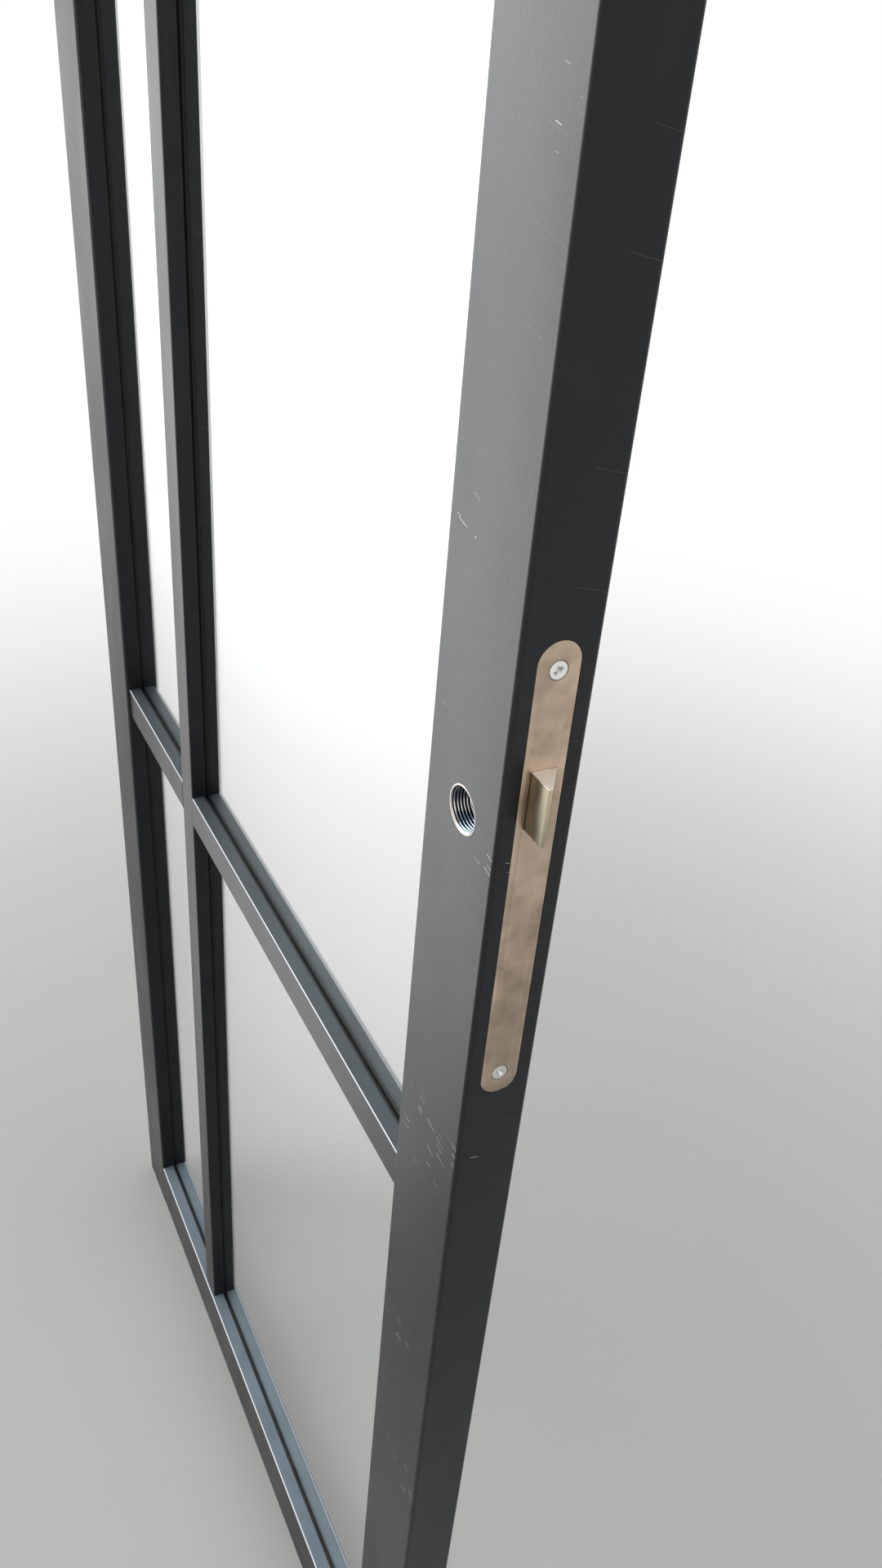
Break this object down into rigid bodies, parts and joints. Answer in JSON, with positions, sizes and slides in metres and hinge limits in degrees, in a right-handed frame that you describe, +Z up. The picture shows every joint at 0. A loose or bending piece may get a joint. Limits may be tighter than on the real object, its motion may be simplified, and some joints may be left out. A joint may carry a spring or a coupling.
{
  "type": "glazed door leaf",
  "caption": "Slim-framed glass door leaf: dark metal stiles and rails, crossing glazing bars, clear panes and a mortice latch worked by a square spindle.",
  "frame": {"origin": "middle of the leaf's underside, halfway across its width and its thickness", "axes": "+X towards the lock edge, +Y from the front face (the one pictured) to the back, +Z up"},
  "size_m": [0.795, 0.04, 2.1],
  "materials": {
    "powder_coat": "satin anthracite powder coat on aluminium profile, fine scratches",
    "clear_glass": "clear toughened float glass, faint green at the edges",
    "black_gasket": "matt black extruded rubber",
    "stainless_plate": "cloudy satin stainless steel",
    "nickel_latch": "dull nickel-plated latch head",
    "zinc_screws": "bright zinc plated steel",
    "chrome_bush": "polished chrome plated bush",
    "case_steel": "zinc plated sheet steel",
    "spring_steel": "oiled spring wire",
    "cast_spigot": "die-cast, unpainted",
    "black_plastic": "moulded black plastic"
  },
  "bodies": {
    "leaf": {"lock_stile": "powder_coat", "hinge_stile": "powder_coat", "top_rail": "powder_coat", "bottom_rail": "powder_coat", "upright_bar": "powder_coat", "cross_bar_narrow": "powder_coat", "cross_bar_wide": "powder_coat", "bar_spigots": "cast_spigot", "spigot_screws": "zinc_screws", "setting_blocks": "black_plastic", "faceplate": "stainless_plate", "faceplate_screws": "zinc_screws", "anchor_plate_upper": "case_steel", "anchor_plate_lower": "case_steel", "lock_case": "case_steel", "lock_cover": "case_steel", "cover_screws": "zinc_screws", "latch_spring": "spring_steel", "follower_spring": "spring_steel", "bush_front": "chrome_bush", "bush_back": "chrome_bush", "corner_spigot_top_lock": "cast_spigot", "stile_cap_top_lock": "black_plastic", "corner_spigot_top_hinge": "cast_spigot", "stile_cap_top_hinge": "black_plastic", "corner_spigot_bottom_lock": "cast_spigot", "stile_cap_bottom_lock": "black_plastic", "corner_spigot_bottom_hinge": "cast_spigot", "stile_cap_bottom_hinge": "black_plastic", "hinge_plate_upper": "case_steel", "hinge_plate_middle": "case_steel", "hinge_plate_lower": "case_steel", "pane_upper_narrow": "clear_glass", "gasket_front_upper_narrow": "black_gasket", "gasket_back_upper_narrow": "black_gasket", "pane_upper_wide": "clear_glass", "gasket_front_upper_wide": "black_gasket", "gasket_back_upper_wide": "black_gasket", "pane_lower_narrow": "clear_glass", "gasket_front_lower_narrow": "black_gasket", "gasket_back_lower_narrow": "black_gasket", "pane_lower_wide": "clear_glass", "gasket_front_lower_wide": "black_gasket", "gasket_back_lower_wide": "black_gasket"},
    "latch": {"latch_bolt": "nickel_latch"},
    "follower": {"follower": "case_steel"}
  },
  "joints": [
    {"name": "follower_turn", "type": "hinge", "parent": "leaf", "child": "follower", "pos_m": [0.357, 0, 1.098], "axis": [0, -1, 0], "range_deg": [0, 40.39], "stiffness_Nm_per_rad": 0.5, "springref_deg": -34.38, "deforming": ["follower_spring"]},
    {"name": "latch_slide", "type": "slide", "parent": "leaf", "child": "latch", "axis": [-1, 0, 0], "range_m": [0, 0.0145], "stiffness_N_per_m": 150, "springref_m": -0.02, "deforming": ["latch_spring"]}
  ],
  "couplings": [
    {"joint": "follower_turn", "follows": "latch_slide", "rad_per_m": 48.62}
  ]
}
